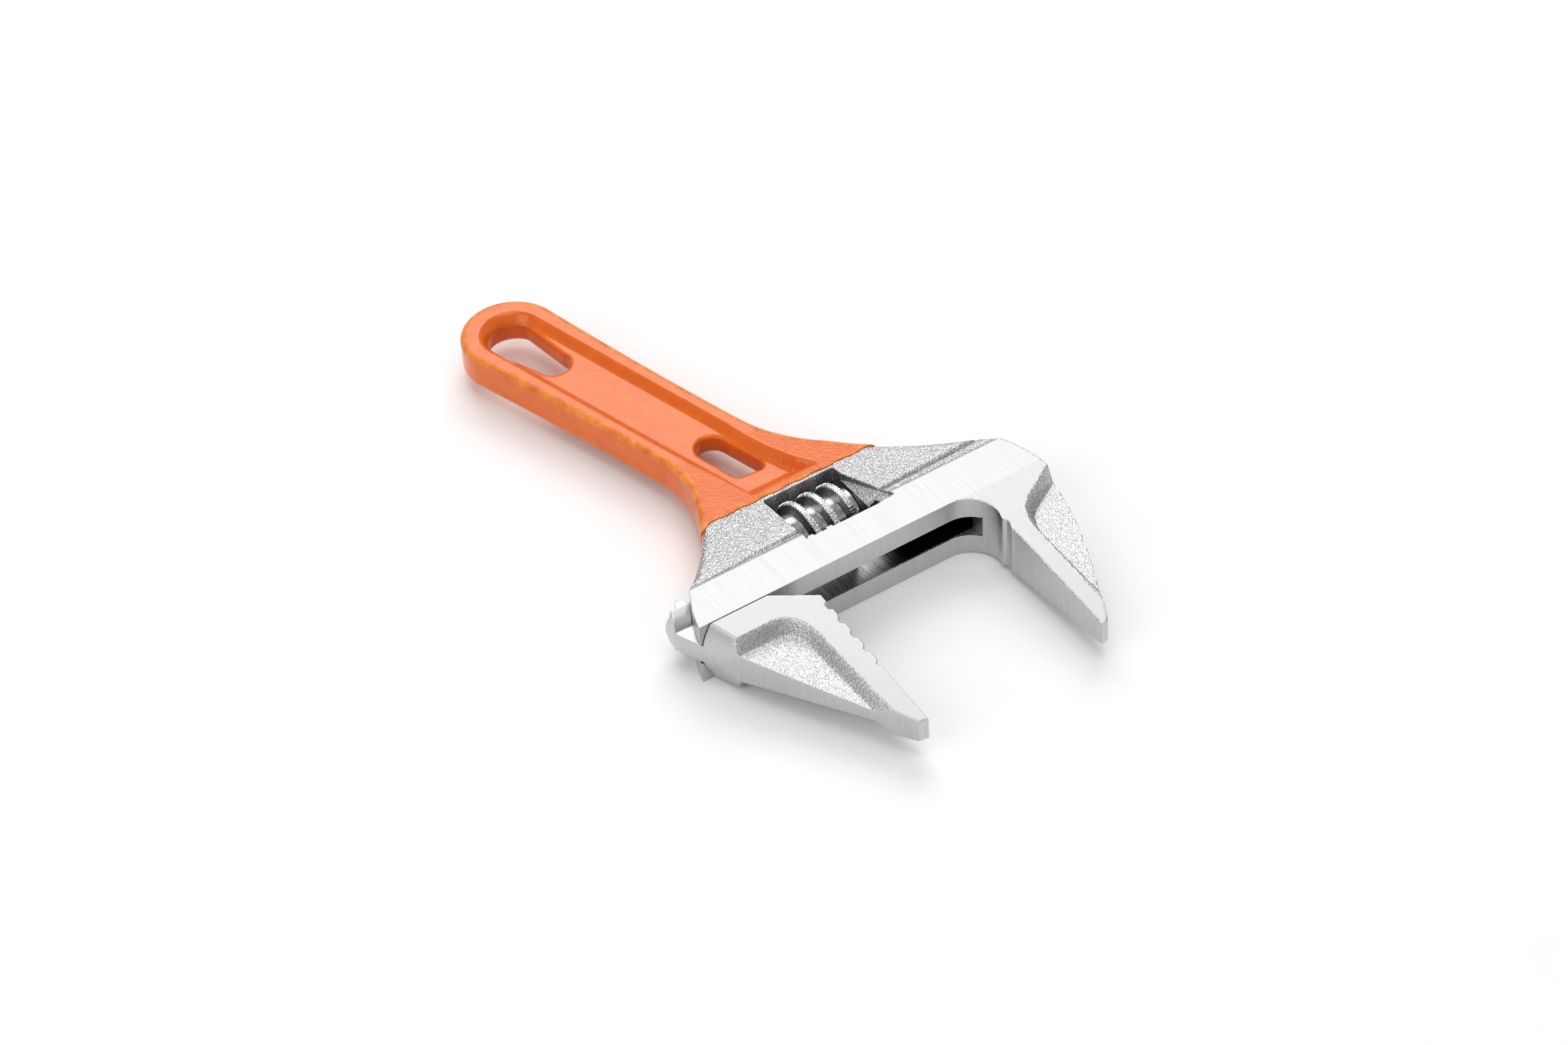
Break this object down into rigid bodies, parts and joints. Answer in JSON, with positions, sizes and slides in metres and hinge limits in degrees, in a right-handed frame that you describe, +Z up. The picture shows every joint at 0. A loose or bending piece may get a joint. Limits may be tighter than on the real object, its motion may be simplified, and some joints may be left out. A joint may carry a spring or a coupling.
{
  "type": "adjustable wrench",
  "caption": "Short adjustable wrench with slim tapered jaws, a wide opening, a thumb-turned worm and an orange coated handle.",
  "frame": {"origin": "on the underside of the head, below the middle of its ground band and 27 mm left of the fixed jaw's face", "axes": "+X along the jaw's slide, towards the fixed jaw; +Y square to the lip, towards the handle; +Z up through the thickness"},
  "size_m": [0.0978, 0.1772, 0.017],
  "materials": {
    "forged_steel": "satin chrome on rough forging, ground bright on the head",
    "orange_coating": "glossy dip coating",
    "jaw_steel": "satin chrome, ground bright faces",
    "worm_steel": "polished, knurled crest",
    "pin_steel": "ground",
    "spring_steel": "drawn wire"
  },
  "bodies": {
    "wrench_body": {"wrench_body": "forged_steel", "handle_coating": "orange_coating", "worm_pin": "pin_steel", "worm_spring": "spring_steel"},
    "movable_jaw": {"movable_jaw": "jaw_steel"},
    "worm": {"worm": "worm_steel"}
  },
  "joints": [
    {"name": "jaw_slide", "type": "slide", "parent": "wrench_body", "child": "movable_jaw", "axis": [1, 0, 0], "range_m": [-0.0015, 0.0474]},
    {"name": "worm_spin", "type": "hinge", "parent": "wrench_body", "child": "worm", "pos_m": [-0.003, 0.01385, 0.0085], "axis": [1, 0, 0], "range_deg": [-3290, 110]}
  ],
  "couplings": [
    {"joint": "worm_spin", "follows": "jaw_slide", "rad_per_m": -1208.3}
  ]
}
